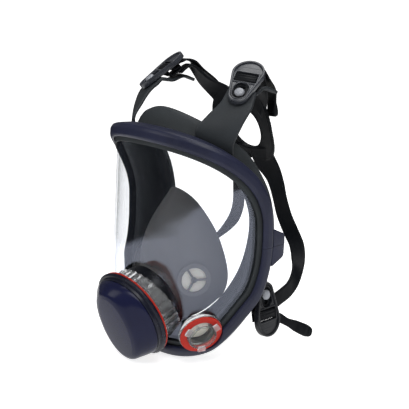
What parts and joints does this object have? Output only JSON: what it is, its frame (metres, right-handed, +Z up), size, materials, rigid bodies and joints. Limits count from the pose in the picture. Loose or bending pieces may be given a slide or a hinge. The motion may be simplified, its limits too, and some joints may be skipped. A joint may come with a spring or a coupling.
{
  "type": "full face respirator",
  "caption": "Full face respirator: wrap-round clear lens in a dark frame, rubber face seal, nose cup, centre exhalation port, bayonet filter ports and a buckled rubber head harness.",
  "frame": {"origin": "middle of the opening that the face goes into, where the wearer's head holds the mask", "axes": "+X towards the wearer's left, -Y the way the mask looks, +Y towards the back of the head, +Z up"},
  "size_m": [0.1836, 0.2013, 0.2611],
  "materials": {
    "clear": "clear hard-coated polycarbonate",
    "navy": "dark navy moulded plastic, fine satin grain",
    "seal": "matte dark grey-green silicone rubber",
    "harness": "black moulded rubber",
    "buckle": "satin black plastic",
    "red": "red rubber gasket",
    "cup": "grey silicone",
    "ivory": "ivory silicone",
    "steel": "plated steel"
  },
  "bodies": {
    "mask": {"centre_gasket": "red", "centre_port_collar": "clear", "cup_valve_seat_left": "cup", "cup_valve_seat_right": "cup", "exhalation_cover": "navy", "exhalation_valve_seat": "cup", "face_seal": "seal", "filter_gasket_left": "red", "filter_gasket_right": "red", "filter_port_left": "clear", "filter_port_right": "clear", "frame_nut_left": "steel", "frame_nut_right": "steel", "frame_screw_left": "steel", "frame_screw_right": "steel", "head_harness": "harness", "lens": "clear", "lower_frame": "navy", "nose_cup": "cup", "port_body": "navy", "strap_stud_lower_left": "buckle", "strap_stud_lower_right": "buckle", "strap_stud_upper_left": "buckle", "strap_stud_upper_right": "buckle", "strap_tail_lower_left": "harness", "strap_tail_lower_right": "harness", "strap_tail_upper_left": "harness", "strap_tail_upper_right": "harness", "upper_frame": "navy"},
    "upper_left_buckle": {"buckle_upper_left": "buckle", "strap_loop_upper_left": "harness"},
    "upper_right_buckle": {"buckle_upper_right": "buckle", "strap_loop_upper_right": "harness"},
    "lower_left_buckle": {"buckle_lower_left": "buckle", "strap_loop_lower_left": "harness"},
    "lower_right_buckle": {"buckle_lower_right": "buckle", "strap_loop_lower_right": "harness"},
    "cup_valve_left": {"cup_valve_disc_left": "ivory"},
    "cup_valve_right": {"cup_valve_disc_right": "ivory"},
    "port_valve_left": {"port_valve_disc_left": "ivory"},
    "port_valve_right": {"port_valve_disc_right": "ivory"},
    "exhalation_valve": {"exhalation_valve_disc": "cup"}
  },
  "joints": [
    {"name": "upper_left_buckle_swivel", "type": "hinge", "parent": "mask", "child": "upper_left_buckle", "pos_m": [0.0555, -0.0115, 0.1075], "axis": [0.3318, -0.4927, 0.8044], "range_deg": [-12, 12]},
    {"name": "upper_right_buckle_swivel", "type": "hinge", "parent": "mask", "child": "upper_right_buckle", "pos_m": [-0.0555, -0.0115, 0.1075], "axis": [-0.3318, -0.4927, 0.8044], "range_deg": [-12, 12]},
    {"name": "lower_left_buckle_swivel", "type": "hinge", "parent": "mask", "child": "lower_left_buckle", "pos_m": [0.0735, -0.001, -0.068], "axis": [0.9901, 0, 0.14], "range_deg": [-15, 15]},
    {"name": "lower_right_buckle_swivel", "type": "hinge", "parent": "mask", "child": "lower_right_buckle", "pos_m": [-0.0735, -0.001, -0.068], "axis": [-0.9901, 0, 0.14], "range_deg": [-15, 15]},
    {"name": "cup_valve_left_lift", "type": "slide", "parent": "mask", "child": "cup_valve_left", "axis": [-0.8462, 0.5328, 0.0082], "range_m": [0, 0.0014], "stiffness_N_per_m": 40},
    {"name": "cup_valve_right_lift", "type": "slide", "parent": "mask", "child": "cup_valve_right", "axis": [0.8462, 0.5328, 0.0082], "range_m": [0, 0.0014], "stiffness_N_per_m": 40},
    {"name": "port_valve_left_lift", "type": "slide", "parent": "mask", "child": "port_valve_left", "axis": [-0.8605, 0.3701, 0.35], "range_m": [0, 0.0018], "stiffness_N_per_m": 40},
    {"name": "port_valve_right_lift", "type": "slide", "parent": "mask", "child": "port_valve_right", "axis": [0.8605, 0.3701, 0.35], "range_m": [0, 0.0018], "stiffness_N_per_m": 40},
    {"name": "exhalation_valve_lift", "type": "slide", "parent": "mask", "child": "exhalation_valve", "axis": [0, -0.9397, -0.342], "range_m": [0, 0.0015], "stiffness_N_per_m": 40}
  ]
}
